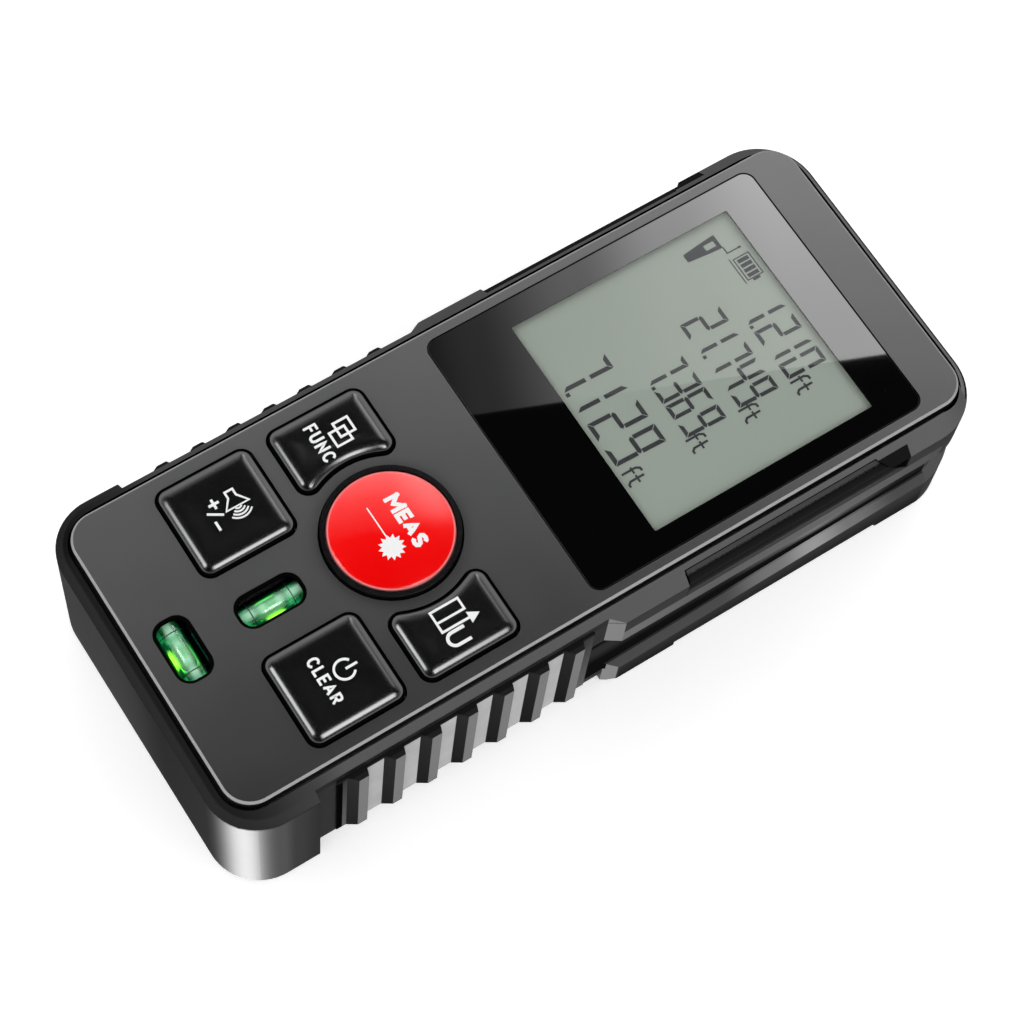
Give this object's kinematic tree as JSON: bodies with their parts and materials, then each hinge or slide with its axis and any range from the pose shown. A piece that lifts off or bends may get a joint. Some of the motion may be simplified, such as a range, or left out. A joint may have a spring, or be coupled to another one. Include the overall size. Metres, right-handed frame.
{
  "type": "laser distance meter",
  "caption": "Pocket laser distance meter with a display, black keys around a red measure key, level vials, ribbed grips and a battery door.",
  "frame": {"origin": "middle of the footprint, on the back plane that the meter lies on", "axes": "+Y towards the laser end, +Z out of the face, +X to the right of the display"},
  "size_m": [0.0484, 0.112, 0.0261],
  "materials": {
    "shell": "fine satin texture",
    "grip_rubber": "moulded, satin",
    "inlay": "satin",
    "plate": "satin paint",
    "lens": "polished",
    "mask": "printed black film",
    "gasket": "foam tape",
    "lcd": "reflective display",
    "light_guide": "clear white",
    "inner_plastic": "moulded",
    "zebra": "elastomer strip",
    "pcb": "solder mask",
    "chip": "moulded package",
    "switch": "plated",
    "key_mat": "silicone",
    "key": "piano gloss",
    "red_key": "gloss",
    "plunger": "moulded",
    "vial_glass": "clear green",
    "bubble": "clear",
    "plug": "moulded",
    "vial_seat": "moulded",
    "chassis": "die cast",
    "barrel": "turned",
    "gold_can": "plated can",
    "optic": "coated",
    "sensor_can": "plated can",
    "window": "tinted",
    "buzzer": "moulded",
    "cell": "printed sleeve, blank",
    "contact": "nickel plated",
    "door": "fine satin texture",
    "foam": "open cell foam",
    "screw": "blackened",
    "label": "blank silver label"
  },
  "bodies": {
    "housing": {"front_housing": "shell", "rear_housing": "shell", "left_grip": "grip_rubber", "right_grip": "grip_rubber", "left_slot_inlay": "inlay", "right_slot_inlay": "inlay", "face_plate": "plate", "display_lens": "lens", "lens_mask": "mask", "lens_gasket": "gasket", "lcd_panel": "lcd", "lcd_frame": "inner_plastic", "backlight": "light_guide", "lcd_connectors": "zebra", "main_board": "pcb", "board_chips": "chip", "tact_switches": "switch", "keypad_mat": "key_mat", "vial_holder": "vial_seat", "long_vial": "vial_glass", "cross_vial": "vial_glass", "vial_plugs": "plug", "optics_frame": "chassis", "laser_barrel": "barrel", "laser_diode": "gold_can", "collimator_lens": "optic", "receiver_lens": "optic", "sensor_board": "pcb", "photodiode": "sensor_can", "end_window": "window", "buzzer": "buzzer", "battery_cells": "cell", "contact_springs": "contact", "contact_plates": "contact", "housing_screws": "screw", "board_screws": "screw", "back_label": "label"},
    "func_key": {"func_key": "key", "func_plunger": "plunger"},
    "area_key": {"area_key": "key", "area_plunger": "plunger"},
    "sound_key": {"sound_key": "key", "sound_plunger": "plunger"},
    "clear_key": {"clear_key": "key", "clear_plunger": "plunger"},
    "measure_key": {"measure_ring": "key", "measure_cap": "red_key", "measure_plunger": "plunger"},
    "battery_door": {"battery_door": "door", "door_pad": "foam"},
    "long_bubble": {"long_bubble": "bubble"},
    "cross_bubble": {"cross_bubble": "bubble"}
  },
  "joints": [
    {"name": "func_key_press", "type": "slide", "parent": "housing", "child": "func_key", "axis": [0, 0, -1], "range_m": [0, 0.0005], "stiffness_N_per_m": 1500, "springref_m": -0.0003},
    {"name": "area_key_press", "type": "slide", "parent": "housing", "child": "area_key", "axis": [0, 0, -1], "range_m": [0, 0.0005], "stiffness_N_per_m": 1500, "springref_m": -0.0003},
    {"name": "sound_key_press", "type": "slide", "parent": "housing", "child": "sound_key", "axis": [0, 0, -1], "range_m": [0, 0.0005], "stiffness_N_per_m": 1500, "springref_m": -0.0003},
    {"name": "clear_key_press", "type": "slide", "parent": "housing", "child": "clear_key", "axis": [0, 0, -1], "range_m": [0, 0.0005], "stiffness_N_per_m": 1500, "springref_m": -0.0003},
    {"name": "measure_key_press", "type": "slide", "parent": "housing", "child": "measure_key", "axis": [0, 0, -1], "range_m": [0, 0.0005], "stiffness_N_per_m": 1500, "springref_m": -0.0003},
    {"name": "battery_door_hinge", "type": "hinge", "parent": "housing", "child": "battery_door", "pos_m": [0, 0.00035, 0.0011], "axis": [1, 0, 0], "range_deg": [0, 80]},
    {"name": "long_bubble_slide", "type": "slide", "parent": "housing", "child": "long_bubble", "axis": [0, 1, 0], "range_m": [-0.0019, 0.0019], "stiffness_N_per_m": 0.2},
    {"name": "cross_bubble_slide", "type": "slide", "parent": "housing", "child": "cross_bubble", "axis": [1, 0, 0], "range_m": [-0.0019, 0.0019], "stiffness_N_per_m": 0.2}
  ]
}
